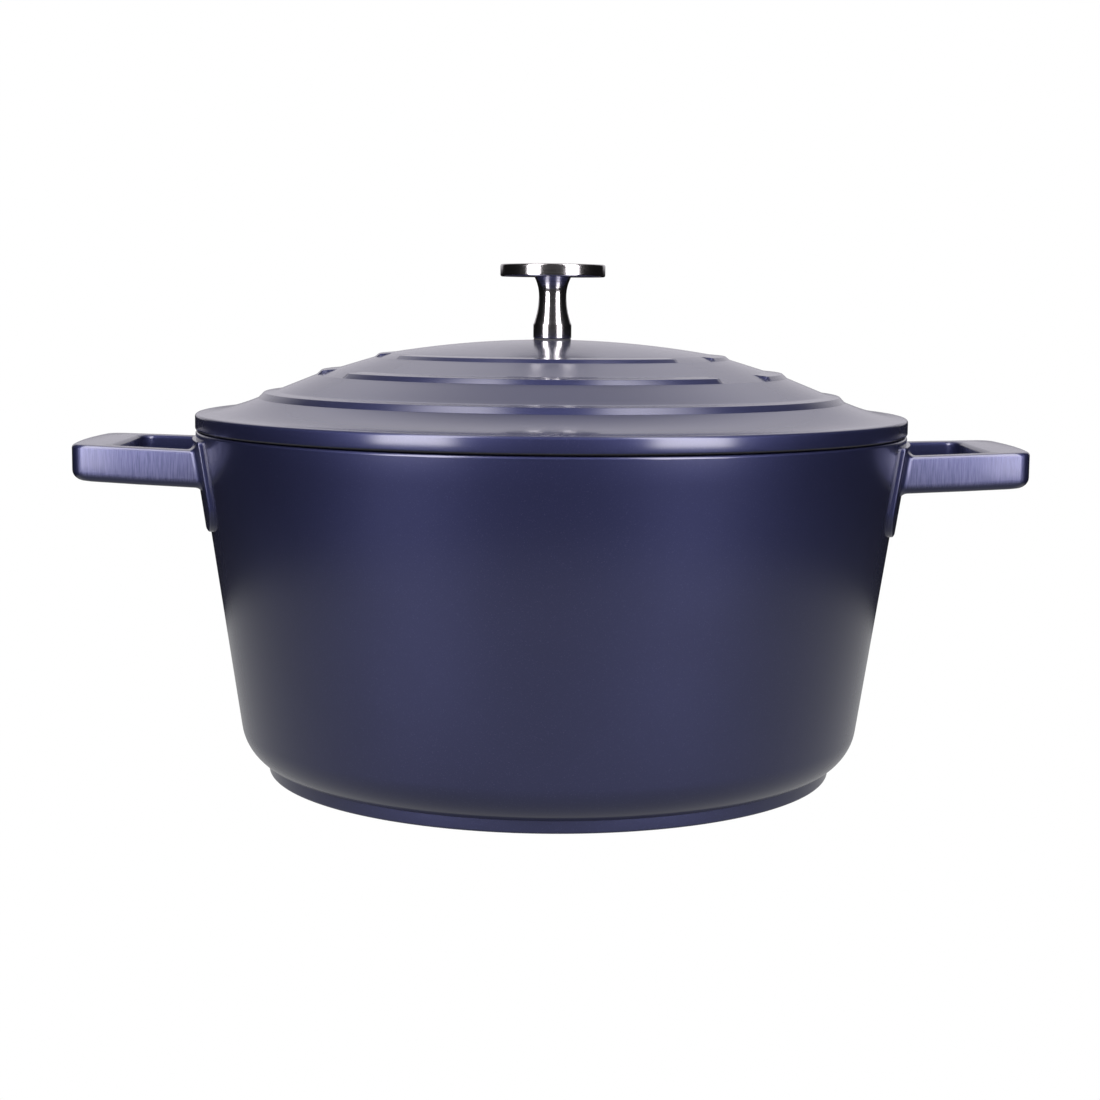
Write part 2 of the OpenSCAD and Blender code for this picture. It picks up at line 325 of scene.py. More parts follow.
@dataclass(frozen=True)
class SatinPaint:
    """Navy satin paint with fine metal flake over a casting; the handles' outward sides get linishing streaks and a
    lighter painted sheen.
    """

    name: str = "navy_satin_paint"
    deep: Colour = (0.0185, 0.0215, 0.066)
    lifted: Colour = (0.0245, 0.0285, 0.081)
    # Lighter lilac for the handles' outward sides: partly the linishing under the thin paint, partly a painted sheen
    # standing in for the soft lights' reflection.
    linish_and_sheen: Colour = (0.115, 0.120, 0.21)
    flake: Colour = (0.075, 0.080, 0.17)
    metallic: float = 0.85
    roughness: float = 0.50
    roughness_swing: float = 0.06
    cloud_grain: float = 45.0
    flake_grain: float = 0.35
    flake_edge: tuple[float, float] = (0.60, 0.78)
    flake_share: float = 0.35
    flake_rough: float = 0.10
    peel_grain: float = 1.6
    peel_depth: float = 0.012
    peel_strength: float = 0.35
    streak_grain: float = 0.42
    streak_stretch: float = 0.07
    streak_depth: float = 0.05
    streak_strength: float = 0.7
    streak_edge: tuple[float, float] = (0.22, 0.78)
    streak_from: float = 117.0
    streak_run: float = 3.0
    # Even share of the lighter tone over the handles' outward sides, which is painted sheen.
    side_sheen_share: float = 0.35
    worn_share: float = 0.65
    worn_rough: float = 0.06
    side_gloss_loss: float = 0.55
    worn_gloss_loss: float = 0.2
    level_edge: tuple[float, float] = (0.12, 0.5)
    square_edge: tuple[float, float] = (0.75, 0.95)
    coat: float = 1.0
    coat_roughness: float = 0.17

    def make(self) -> bpy.types.Material:
        """Builds the material."""
        surface = {"Metallic": self.metallic, "Coat Roughness": self.coat_roughness, "IOR": 1.5}
        return material(self.name, surface, self._dress)

    def _dress(self, shader: Shader) -> dict[str, object]:
        """What varies over the paint.

        Args:
            shader: The tree to build in.

        Returns:
            The varying sockets.
        """
        place = shader.place()
        cloud = shader.noise(place, self.cloud_grain, 3.0)
        flake = shader.step(shader.noise(place, self.flake_grain, 1.0), *self.flake_edge)
        body = shader.mix(cloud, self.deep, self.lifted)
        side = self._sides(shader, place)
        streak = shader.noise(shader.scaled(place, (1.0, 1.0, self.streak_stretch)), self.streak_grain, 3.0)
        worn = side * shader.step(streak, *self.streak_edge)
        colour = shader.mix(flake * self.flake_share, body, self.flake)
        # Painted sheen: the handles' outward sides are mixed evenly towards the lighter tone, and further along the
        # linishing streaks.
        colour = shader.mix(side * self.side_sheen_share + worn * self.worn_share, colour, self.linish_and_sheen)
        peel = shader.noise(place, self.peel_grain, 2.0)
        relief = shader.bump(peel, self.peel_depth, self.peel_strength)
        relief = shader.bump(streak * side, self.streak_depth, self.streak_strength, under=relief)
        rough = self.roughness + self.roughness_swing * (cloud - 0.5) + self.flake_rough * flake
        rough = rough + self.worn_rough * worn
        gloss = self.coat * (1.0 - self.side_gloss_loss * side - self.worn_gloss_loss * worn)
        return {"Base Color": colour, "Roughness": rough, "Coat Weight": gloss, "Normal": relief}

    def _sides(self, shader: Shader, place: Value) -> Value:
        """Where the handles' outward sides are, for their linishing streaks and painted sheen, without the walls of the
        finger holes.

        Args:
            shader: The tree to build in.
            place: The point on the piece.

        Returns:
            One on the handles' outward upright faces, nought elsewhere.
        """
        normal = shader.node("ShaderNodeNewGeometry", output="Normal")
        start, end = self.streak_from * MM, (self.streak_from + self.streak_run) * MM
        upright = 1.0 - shader.step(abs(shader.axis(normal, "Z")), *self.level_edge)
        square = shader.step(abs(shader.axis(normal, "Y")), *self.square_edge)
        outboard = shader.step(abs(shader.axis(place, "X")), start, end)
        outer = shader.axis(normal, "Y") * shader.axis(place, "Y") > 0.0
        return upright * square * outboard * outer


@dataclass(frozen=True)
class NonStick:
    """Black non-stick coating with fine speckle over turned marks."""

    name: str = "black_coating"
    dark: Colour = (0.012, 0.012, 0.013)
    speck: Colour = (0.10, 0.10, 0.105)
    roughness: float = 0.42
    speck_grain: float = 0.8
    ring_grain: float = 0.9
    ring_depth: float = 0.012

    def make(self) -> bpy.types.Material:
        """Builds the material."""
        return material(self.name, {"Metallic": 0.0, "IOR": 1.45}, self._dress)

    def _dress(self, shader: Shader) -> dict[str, object]:
        """What varies over the coating.

        Args:
            shader: The tree to build in.

        Returns:
            The varying sockets.
        """
        place = shader.place()
        speck = shader.step(shader.noise(place, self.speck_grain, 2.0), 0.66, 0.72)
        rings = shader.noise(shader.turned(place), self.ring_grain, 2.0)
        colour = shader.mix(speck * 0.7, self.dark, self.speck)
        rough = self.roughness + 0.12 * (rings - 0.5) - 0.08 * speck
        relief = shader.bump(rings, self.ring_depth, 0.5)
        return {"Base Color": colour, "Roughness": rough, "Normal": relief}


@dataclass(frozen=True)
class TurnedSteel:
    """Bare steel turned on a lathe, with fine rings."""

    name: str
    bright: Colour = (0.66, 0.65, 0.64)
    dull: Colour = (0.30, 0.28, 0.26)
    roughness: float = 0.15
    ring_grain: float = 0.7
    ring_depth: float = 0.012
    ring_strength: float = 0.6

    def make(self) -> bpy.types.Material:
        """Builds the material."""
        return material(self.name, {"Metallic": 1.0}, self._dress)

    def _dress(self, shader: Shader) -> dict[str, object]:
        """What varies over the steel.

        Args:
            shader: The tree to build in.

        Returns:
            The varying sockets.
        """
        place = shader.place()
        rings = shader.noise(shader.turned(place), self.ring_grain, 3.0)
        smear = shader.noise(place, 6.0, 2.0)
        cut = shader.step(rings, 0.42, 0.66)
        colour = shader.mix(smear * 0.3 + cut * 0.6, self.bright, self.dull)
        rough = self.roughness + 0.14 * (rings - 0.5) + 0.06 * (smear - 0.5)
        relief = shader.bump(rings, self.ring_depth, self.ring_strength)
        return {"Base Color": colour, "Roughness": rough, "Normal": relief}


@dataclass(frozen=True)
class MouldedRubber:
    """Matt black moulded silicone."""

    name: str = "black_silicone"
    dark: Colour = (0.014, 0.014, 0.015)
    worn: Colour = (0.030, 0.030, 0.031)

    def make(self) -> bpy.types.Material:
        """Builds the material."""
        return material(self.name, {"Metallic": 0.0}, self._dress)

    def _dress(self, shader: Shader) -> dict[str, object]:
        """What varies over the rubber.

        Args:
            shader: The tree to build in.

        Returns:
            The varying sockets.
        """
        place = shader.place()
        mottle = shader.noise(place, 1.2, 3.0)
        colour = shader.mix(mottle, self.dark, self.worn)
        relief = shader.bump(shader.noise(place, 0.25, 2.0), 0.01, 0.5)
        return {"Base Color": colour, "Roughness": 0.62 + 0.12 * mottle, "Normal": relief}


# ---------------------------------------------------------------------------------------------
# Bench work
# ---------------------------------------------------------------------------------------------


@dataclass(frozen=True)
class Place:
    """Where a CAD node is, in millimetres."""

    low: Vector
    high: Vector

    @classmethod
    def of(cls, node: str) -> "Place":
        """The place of a node of the frame.

        Args:
            node: The node's name.

        Returns:
            Its box.
        """
        low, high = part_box(node)
        return cls(low / MM, high / MM)

    @property
    def radius(self) -> float:
        """Half of its depth, which is its radius if it is round about Z."""
        return (self.high.y - self.low.y) / 2


def arc(centre: Point, radius: float, start: float, end: float, steps: int = 6) -> list[Point]:
    """Points of an arc.

    Args:
        centre: Its middle.
        radius: Its radius.
        start: First angle in degrees.
        end: Last angle in degrees.
        steps: How many pieces it has.

    Returns:
        The points, both ends included.
    """
    turns = [math.radians(start + (end - start) * i / steps) for i in range(steps + 1)]
    return [(centre[0] + radius * math.cos(t), centre[1] + radius * math.sin(t)) for t in turns]


def rounded(corners: Sequence[tuple[float, float, float]], steps: int = 4, closed: bool = False) -> list[Point]:
    """An outline with its corners rounded.

    Args:
        corners: Each corner and its radius; nought leaves it sharp.
        steps: How many pieces each rounding has.
        closed: Whether the last corner runs on into the first.

    Returns:
        The outline's points.
    """
    made: list[Point] = []
    count = len(corners)
    for i, (x, y, radius) in enumerate(corners):
        inner = closed or 0 < i < count - 1
        if radius <= 0 or not inner:
            made.append((x, y))
            continue
        corner = Vector((x, y))
        back = (Vector(corners[i - 1][:2]) - corner).normalized()
        ahead = (Vector(corners[(i + 1) % count][:2]) - corner).normalized()
        half = back.angle(ahead) / 2
        run = radius / math.tan(half)
        middle = corner + (back + ahead).normalized() * (radius / math.sin(half))
        first = (corner + back * run - middle).normalized()
        last = (corner + ahead * run - middle).normalized()
        for k in range(steps + 1):
            spoke = first.slerp(last, k / steps) * radius
            made.append((middle.x + spoke.x, middle.y + spoke.y))
    return made


def lay_out(outline: Iterable[Point]) -> list[Vector]:
    """Turns radius and height into points in the XZ plane, in metres."""
    return [Vector((r, 0.0, z)) * MM for r, z in outline]


class Bench:
    """The moves of modelling by hand: pick, draw, spin, cut, round and join."""

    @staticmethod
    def edit() -> None:
        """Goes into edit mode."""
        bpy.ops.object.mode_set(mode="EDIT")

    @staticmethod
    def leave() -> None:
        """Goes back to object mode."""
        bpy.ops.object.mode_set(mode="OBJECT")

    @staticmethod
    def all() -> None:
        """Selects everything in the mesh."""
        bpy.ops.mesh.select_all(action="SELECT")

    @classmethod
    def start_pick(cls, piece: bpy.types.Object, kind: str) -> None:
        """Leaves a piece with nothing selected in its mesh.

        Args:
            piece: The piece.
            kind: VERT, EDGE or FACE.
        """
        cls.take(piece)
        cls.edit()
        bpy.ops.mesh.select_mode(type=kind)
        bpy.ops.mesh.select_all(action="DESELECT")
        cls.leave()

    @staticmethod
    def clear() -> None:
        """Leaves edit mode with nothing selected."""
        if bpy.context.object and bpy.context.object.mode != "OBJECT":
            Bench.leave()
        bpy.ops.object.select_all(action="DESELECT")

    @classmethod
    def take(cls, piece: bpy.types.Object) -> bpy.types.Object:
        """Makes one piece the only selected and active one."""
        cls.clear()
        piece.select_set(True)
        bpy.context.view_layer.objects.active = piece
        return piece

    @classmethod
    def pick(cls, piece: bpy.types.Object, test: Callable[[Vector], bool]) -> int:
        """Selects the vertices that pass a test and goes into edit mode.

        Args:
            piece: The piece.
            test: Says of a point, in millimetres, whether it is wanted.

        Returns:
            How many were selected.
        """
        cls.start_pick(piece, "VERT")
        count = 0
        for vertex in piece.data.vertices:
            vertex.select = test(vertex.co / MM)
            count += vertex.select
        Bench.edit()
        return count

    @classmethod
    def pick_faces(cls, piece: bpy.types.Object, test: Callable[[Vector, Vector], bool]) -> int:
        """Selects the faces that pass a test and goes into edit mode.

        Args:
            piece: The piece.
            test: Says of a face's middle, in millimetres, and its normal whether it is wanted.

        Returns:
            How many were selected.
        """
        cls.start_pick(piece, "FACE")
        count = 0
        for face in piece.data.polygons:
            face.select = test(face.center / MM, face.normal)
            count += face.select
        Bench.edit()
        return count

    @classmethod
    def draw(cls, name: str, points: Sequence[Vector], close: bool = False) -> bpy.types.Object:
        """Draws a line through points by extruding one vertex.

        Args:
            name: The new piece's name.
            points: The points, in metres.
            close: Whether the line runs back to its start.

        Returns:
            The piece, in edit mode with its last vertex selected.
        """
        cls.clear()
        bpy.ops.mesh.primitive_plane_add(size=MM)
        piece = bpy.context.object
        piece.name = piece.data.name = name
        Bench.edit()
        bpy.ops.mesh.select_mode(type="VERT")
        Bench.all()
        bpy.ops.mesh.merge(type="CENTER")
        bpy.ops.transform.translate(value=points[0])
        for start, end in zip(points, points[1:]):
            bpy.ops.mesh.extrude_vertices_move(TRANSFORM_OT_translate={"value": end - start})
        if close:
            Bench.all()
            bpy.ops.mesh.remove_doubles(threshold=0.0005 * MM)
            Bench.leave()
            loop = piece.data
            ends = [0, len(loop.vertices) - 1]
            for vertex in loop.vertices:
                vertex.select = vertex.index in ends
            Bench.edit()
            bpy.ops.mesh.edge_face_add()
        return piece

    @classmethod
    def turn(
        cls, name: str, outline: Sequence[Point], spans: Sequence[tuple[float, int]] = ((FULL_TURN, 128),)
    ) -> bpy.types.Object:
        """Turns an outline about Z into a closed solid.

        Args:
            name: The new piece's name.
            outline: Radius and height of each point. Both ends are on the axis, or they meet.
            spans: The turn in degrees and the number of steps of each stretch.

        Returns:
            The piece.
        """
        piece = cls.draw(name, lay_out(outline))
        Bench.all()
        for degrees, steps in spans:
            bpy.ops.mesh.spin(
                steps=steps, angle=math.radians(degrees), center=(0, 0, 0), axis=(0, 0, 1),
                use_auto_merge=False,
            )
        cls.heal(piece)
        return piece

    @classmethod
    def heal(cls, piece: bpy.types.Object) -> None:
        """Merges doubles and points every face outwards."""
        cls.take(piece)
        Bench.edit()
        Bench.all()
        bpy.ops.mesh.remove_doubles(threshold=0.005 * MM)
        Bench.all()
        bpy.ops.mesh.normals_make_consistent(inside=False)
        Bench.leave()

    @classmethod
    def modify(cls, piece: bpy.types.Object, kind: str, **settings: object) -> None:
        """Adds a modifier and applies it.

        Args:
            piece: The piece.
            kind: The modifier's type.
            settings: Its properties.
        """
        cls.take(piece)
        modifier = piece.modifiers.new(kind.lower(), kind)
        for key, value in settings.items():
            setattr(modifier, key, value)
        bpy.ops.object.modifier_apply(modifier=modifier.name)

    @classmethod
    def combine(cls, piece: bpy.types.Object, other: bpy.types.Object, how: str = "UNION") -> None:
        """Joins another solid to a piece, or cuts it out, and removes the other.

        Args:
            piece: The piece that stays.
            other: The solid that is used up.
            how: UNION or DIFFERENCE.
        """
        cls.modify(piece, "BOOLEAN", object=other, operation=how, solver="EXACT")
        bpy.data.meshes.remove(other.data)

    @classmethod
    def mirror_x(cls, piece: bpy.types.Object, name: str) -> bpy.types.Object:
        """Copies a piece to the other side of the YZ plane.

        Args:
            piece: The piece.
            name: The copy's name.

        Returns:
            The copy, with its own mesh.
        """
        cls.take(piece)
        bpy.ops.object.duplicate()
        copy = bpy.context.object
        copy.name = copy.data.name = name
        Bench.edit()
        Bench.all()
        bpy.ops.transform.resize(value=(-1, 1, 1), center_override=(0, 0, 0))
        bpy.ops.mesh.normals_make_consistent(inside=False)
        Bench.leave()
        return copy

    @classmethod
    def smooth(cls, piece: bpy.types.Object, angle: float = 32.0) -> None:
        """Shades a piece smooth, with creases at edges sharper than the angle."""
        cls.take(piece)
        bpy.ops.object.shade_smooth_by_angle(angle=math.radians(angle))

    @staticmethod
    def dress(
        piece: bpy.types.Object,
        coats: Sequence[bpy.types.Material],
        choose: Callable[[Vector, Vector], int] | None = None,
    ) -> None:
        """Gives a piece its materials.

        Args:
            piece: The piece.
            coats: One material for each slot.
            choose: Says of a face's middle, in millimetres, and its normal which slot it takes.
        """
        piece.data.materials.clear()
        for coat in coats:
            piece.data.materials.append(coat)
        for face in piece.data.polygons:
            face.material_index = choose(face.center / MM, face.normal) if choose else 0


def stand_in(piece: bpy.types.Object, node: str, body: Body, slot: Slot) -> bpy.types.Object:
    """Lets a finished piece stand for its CAD node.

    Args:
        piece: The piece.
        node: The node that it replaces.
        body: The body that it rides on.
        slot: The record's slot for its finish; not used.

    Returns:
        The piece.
    """
    Bench.clear()
    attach(piece, body.value)
    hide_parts(node)
    return piece


# ---------------------------------------------------------------------------------------------
# Pot
# ---------------------------------------------------------------------------------------------


@dataclass
class Pot:
    """The pot's casting: wall, floor, foot ring, two pads and two loop handles in one skin."""

    paint: bpy.types.Material
    coating: bpy.types.Material
    place: Place = field(default_factory=lambda: Place.of("pot_body"))
    plate: Place = field(default_factory=lambda: Place.of("induction_plate"))
    lid: Place = field(default_factory=lambda: Place.of("lid_shell"))
    draft: float = 8.3
    wall: float = 3.5
    floor_z: float = 6.0
    corner_r: float = 16.0
    corner_sweep: float = 66.0
    inside_corner_r: float = 12.0
    foot_h: float = 4.2
    rim_round: float = 0.8
    rim_chamfer: float = 0.5
    steps: int = 288

    handle_root_w: float = 75.0
    handle_tip_w: float = 63.0
    arm: float = 7.3
    grip: float = 14.8
    handle_h: float = 12.6
    handle_h_tip: float = 12.3
    handle_drop: float = 5.6
    handle_rise: float = 1.9
    outer_corner: float = 6.0
    hole_corner: float = 6.0
    bow: float = 2.0
    top_round: float = 1.3
    low_round: float = 3.4
    root_fillet: float = 2.4
    bury: float = 2.6

    pad_w: float = 82.0
    pad_t: float = 1.5
    pad_drop: float = 2.4
    pad_h: float = 31.0
    pad_corner: float = 9.0
    pad_round: float = 0.5
    pad_strips: int = 28
    pad_draw_off: float = 20.0

    @property
    def rim_r(self) -> float:
        """Outside radius of the rim before its edge is rounded, which is the lid's."""
        return self.lid.radius

    @property
    def rim_z(self) -> float:
        """Height of the rim."""
        return self.place.high.z

    @property
    def handle_top(self) -> float:
        """Height of the handle's top over the rim's edge."""
        return self.rim_z - self.handle_drop

    def wall_r(self, z: float) -> float:
        """Outside radius of the wall at a height."""
        return self.rim_r - math.tan(math.radians(self.draft)) * (self.rim_z - z)

    def cavity_r(self, z: float) -> float:
        """Inside radius of the wall at a height."""
        return self.wall_r(z) - self.wall / math.cos(math.radians(self.draft))

    def build(self) -> bpy.types.Object:
        """Builds the whole casting and dresses it.

        Returns:
            The finished piece.
        """
        casting = Bench.turn("pot_casting", self._outline(), [(FULL_TURN, self.steps)])
        for part in (self._pad(), self._handle()):
            twin = Bench.mirror_x(part, part.name + "_left")
            Bench.combine(casting, part)
            Bench.combine(casting, twin)
        Bench.heal(casting)
        Bench.dress(casting, [self.paint, self.coating], self._coat)
        Bench.smooth(casting)
        return stand_in(casting, "pot_body", Body.POT, Slot.PAINT)

    def _outline(self) -> list[Point]:
        """Section of the turned body, from the axis under the floor round to the axis above it.

        Returns:
            The outline.
        """
        lean = math.cos(math.radians(self.draft))
        corner_z = self.foot_h + self.corner_r * math.sin(math.radians(self.corner_sweep))
        corner_x = self.wall_r(corner_z) - self.corner_r / lean
        foot_r = corner_x + self.corner_r * math.cos(math.radians(self.corner_sweep))
        round_z = self.rim_z - self.rim_round
        round_x = self.wall_r(round_z) - self.rim_round / lean
        inner_z = self.floor_z + self.inside_corner_r
        inner_x = self.cavity_r(inner_z) - self.inside_corner_r / lean
        seat_r = self.plate.radius
        seat_z = self.plate.high.z
        mouth_r = self.cavity_r(self.rim_z) + self.rim_chamfer
        under = rounded(
            [(0, seat_z, 0), (seat_r, seat_z, 0), (seat_r, 0, 0.3), (foot_r, 0, 0.8), (foot_r, self.foot_h, 0)],
            steps=5,
        )
        swell = arc((corner_x, corner_z), self.corner_r, -self.corner_sweep, -self.draft, 14)
        low, high = swell[-1], arc((round_x, round_z), self.rim_round, -self.draft, 90, 7)
        flank = [
            (low[0] + (high[0][0] - low[0]) * i / 12, low[1] + (high[0][1] - low[1]) * i / 12)
            for i in range(1, 12)
        ]
        mouth = rounded(
            [
                (high[-1][0], self.rim_z, 0),
                (mouth_r, self.rim_z, 0.25),
                (self.cavity_r(self.rim_z - self.rim_chamfer), self.rim_z - self.rim_chamfer, 0.25),
                (inner_x + self.inside_corner_r, inner_z, 0),
            ],
            steps=3,
        )
        inside = arc((inner_x, inner_z), self.inside_corner_r, -self.draft, -90, 14)
        floor = [(inner_x * i / 6, self.floor_z) for i in range(5, -1, -1)]
        return under[:-1] + swell + flank + high + mouth[1:-1] + inside + floor

    def _coat(self, middle: Vector, normal: Vector) -> int:
        """The coating's slot for faces inside the pot, the paint's for the rest.

        Args:
            middle: The face's middle in millimetres.
            normal: The face's normal.

        Returns:
            The slot's number.
        """
        inside = middle.z > self.floor_z - 0.5 and middle.xy.length < self.cavity_r(middle.z) + 0.35
        inward = normal.z > 0.9 or middle.xy.dot(normal.xy) < 0
        return int(inside and inward)

    def _surface_x(self, y: float, z: float, proud: float) -> float:
        """Where a surface that stands off the wall is, on the +X side.

        Args:
            y: Place across.
            z: Height.
            proud: How far it stands off the wall.

        Returns:
            Its X.
        """
        return math.sqrt((self.wall_r(z) + proud) ** 2 - y * y)

    def _pad(self) -> bpy.types.Object:
        """The pad behind the +X handle, a thin plate that hugs the wall.

        Returns:
            The pad, its back sunk in the wall.
        """
        top = self.rim_z - self.pad_drop
        low = top - self.pad_h
        half = self.pad_w / 2
        outline = rounded(
            [(-half, top, 1.5), (half, top, 1.5), (half, low, self.pad_corner), (-half, low, self.pad_corner)],
            steps=8,
            closed=True,
        )
        sheet = Bench.draw("pad", [Vector((self.rim_r + self.pad_draw_off, y, z)) * MM for y, z in outline], close=True)
        Bench.all()
        bpy.ops.mesh.edge_face_add()
        for i in range(1, self.pad_strips):
            cut = (self.rim_r * MM, (i / self.pad_strips - 0.5) * self.pad_w * MM, 0)
            Bench.all()
            bpy.ops.mesh.bisect(plane_co=cut, plane_no=(0, 1, 0))
        Bench.leave()
        Bench.modify(sheet, "SOLIDIFY", thickness=(self.pad_t + self.wall / 2) * MM, offset=0)
        middle = (self.rim_r + self.pad_draw_off) * MM
        for vertex in sheet.data.vertices:
            outer = vertex.co.x > middle
            y, z = vertex.co.y / MM, vertex.co.z / MM
            vertex.co.x = self._surface_x(y, z, self.pad_t if outer else -self.wall / 2) * MM
        Bench.heal(sheet)
        Bench.modify(
            sheet, "BEVEL", width=self.pad_round * MM, segments=4, limit_method="ANGLE",
            angle_limit=math.radians(50), use_clamp_overlap=False,
        )
        return sheet

    def _half_w(self, x: float) -> float:
        """Half width of the handle's plan at a place along X."""
        lean = (self.handle_root_w - self.handle_tip_w) / 2 / (self.place.high.x - self.rim_r)
        return self.handle_root_w / 2 - lean * (x - self.rim_r)

    def _plan_line(self, arm_in: float, tip_in: float, corner: float, bow: float) -> list[Point]:
        """One edge of the handle's plan, from one root round the tip to the other.

        Args:
            arm_in: How far its arms are moved in.
            tip_in: How far its tip is moved in.
            corner: Its corners' radius.
            bow: How far its tip bulges.

        Returns:
            The line's points.
        """
        tip = self.place.high.x - tip_in
        root = self.rim_r + self.pad_t + self.root_fillet
        side = self._half_w(tip) - arm_in
        root_y = self._half_w(root) - arm_in
        start = self._surface_x(root_y, self.handle_top - self.handle_h / 2, self.pad_t) + self.root_fillet
        sides = [(start, root_y), ((start + tip) / 2, self._half_w((start + tip) / 2) - arm_in)]
        half = rounded([(*sides[0], 0), (*sides[1], 0), (tip - bow, side, corner), (tip, 0, 0)], steps=10)
        swell = [(tip - bow * (y / side) ** 2 if y < side - corner else x, y) for x, y in half[:-1]]
        run = half[-2]
        flat = [(tip - bow * (run[1] * k / 6 / side) ** 2, run[1] * k / 6) for k in range(5, -1, -1)]
        near = swell[:-1] + [(tip - bow * (run[1] / side) ** 2, run[1])] + flat
        return near + [(x, -y) for x, y in reversed(near[:-1])]

    def _handle(self) -> bpy.types.Object:
        """The +X loop handle, its roots flared and sunk in the pad.

        Returns:
            The handle.
        """
        outer = self._plan_line(0, 0, self.outer_corner, self.bow)
        inner = self._plan_line(self.arm, self.grip, self.hole_corner, 0)
        top = self.handle_top
        lines = [[Vector((x, y, top)) * MM for x, y in line] for line in (outer, inner)]
        loop = Bench.draw("handle", lines[0])
        Bench.leave()
        hole = Bench.draw("handle_hole", lines[1])
        Bench.leave()
        Bench.take(loop)
        hole.select_set(True)
        bpy.ops.object.join()
        Bench.edit()
        Bench.all()
        bpy.ops.mesh.bridge_edge_loops()
        Bench.all()
        bpy.ops.mesh.extrude_region_move(TRANSFORM_OT_translate={"value": (0, 0, -self.handle_h * MM)})
        Bench.leave()
        Bench.heal(loop)
        self._slope(loop)
        self._round_handle(loop)
        for side in (-1, 1):
            self._flare(loop, side)
        Bench.heal(loop)
        return loop

    def _slope(self, loop: bpy.types.Object) -> None:
        """Lets the handle's top and underside rise towards the tip."""
        middle = self.handle_top - self.handle_h / 2
        run = self.place.high.x - self.rim_r
        rise = math.tan(math.radians(self.handle_rise))
        low_rise = rise + (self.handle_h - self.handle_h_tip) / run
        for vertex in loop.data.vertices:
            slope = rise if vertex.co.z / MM > middle else low_rise
            vertex.co.z += slope * (vertex.co.x - self.rim_r * MM)

    def _round_handle(self, loop: bpy.types.Object) -> None:
        """Rounds the handle's long edges: crisp on top, full below."""
        middle = self.handle_top - self.handle_h / 2
        for upper, radius, segments in ((True, self.top_round, 3), (False, self.low_round, 6)):
            Bench.start_pick(loop, "EDGE")
            self._pick_long_edges(loop, middle, upper)
            Bench.edit()
            bpy.ops.mesh.bevel(offset=radius * MM, segments=segments, profile=0.5, clamp_overlap=False)
            Bench.leave()

    @staticmethod
    def _pick_long_edges(loop: bpy.types.Object, middle: float, upper: bool) -> None:
        """Selects the long edges between a level face and an upright one.

        Args:
            loop: The handle.
            middle: Height that parts the upper edges from the lower.
            upper: Whether the upper edges are wanted.
        """
        mesh = loop.data
        level: dict[tuple[int, int], list[float]] = {}
        for face in mesh.polygons:
            for key in face.edge_keys:
                level.setdefault(key, []).append(abs(face.normal.z))
        root = min(v.co.x for v in mesh.vertices) / MM + 4
        for edge in mesh.edges:
            ends = [mesh.vertices[i].co / MM for i in edge.vertices]
            mixed = max(level[edge.key]) > 0.9 and min(level[edge.key]) < 0.3
            across = abs(ends[0].y) > 1 and abs(ends[0].y - ends[1].y) > 4 and max(e.x for e in ends) < root
            high = all(end.z > middle for end in ends) == upper and any(end.z > middle for end in ends) == upper
            edge.select = mixed and high and not across

    def _flare(self, loop: bpy.types.Object, side: int) -> None:
        """Flares one root of the handle into the pad.

        Args:
            loop: The handle.
            side: Which arm, -1 or 1.
        """
        mesh = loop.data
        ends = [f for f in mesh.polygons if f.center.y * side > 0 and f.normal.x < -0.8 and len(f.vertices) > 8]
        end = min(ends, key=lambda f: f.center.x)
        Bench.pick_faces(loop, lambda middle, normal: (middle - end.center / MM).length < 0.01)
        Bench.leave()
        corners = [mesh.vertices[i].co / MM for i in end.vertices]
        width = max(c.y for c in corners) - min(c.y for c in corners)
        height = max(c.z for c in corners) - min(c.z for c in corners)
        centre = Vector((0, sum(c.y for c in corners) / len(corners), sum(c.z for c in corners) / len(corners)))
        self._lay(loop, self.root_fillet)
        grown = 0.0
        turns = [math.radians(90 * k / 6) for k in range(1, 7)]
        rings = [(self.root_fillet * (1 - math.sin(t)), self.root_fillet * (1 - math.cos(t))) for t in turns]
        for away, growth in [*rings, (-self.bury, self.root_fillet)]:
            Bench.edit()
            bpy.ops.mesh.extrude_region_move(TRANSFORM_OT_translate={"value": (-0.1 * MM, 0, 0)})
            scale = [(size + 2 * growth) / (size + 2 * grown) for size in (width, height)]
            bpy.ops.transform.resize(value=(1, *scale), center_override=centre * MM)
            Bench.leave()
            self._lay(loop, away)
            grown = growth

    def _lay(self, loop: bpy.types.Object, away: float) -> None:
        """Sets the selected vertices at a distance from the pad.

        Args:
            loop: The handle.
            away: The distance in millimetres; less than nought is inside the pad.
        """
        for vertex in loop.data.vertices:
            if vertex.select:
                y, z = vertex.co.y / MM, vertex.co.z / MM
                vertex.co.x = (self._surface_x(y, z, self.pad_t) + away) * MM


# ---------------------------------------------------------------------------------------------
# Lid
# ---------------------------------------------------------------------------------------------


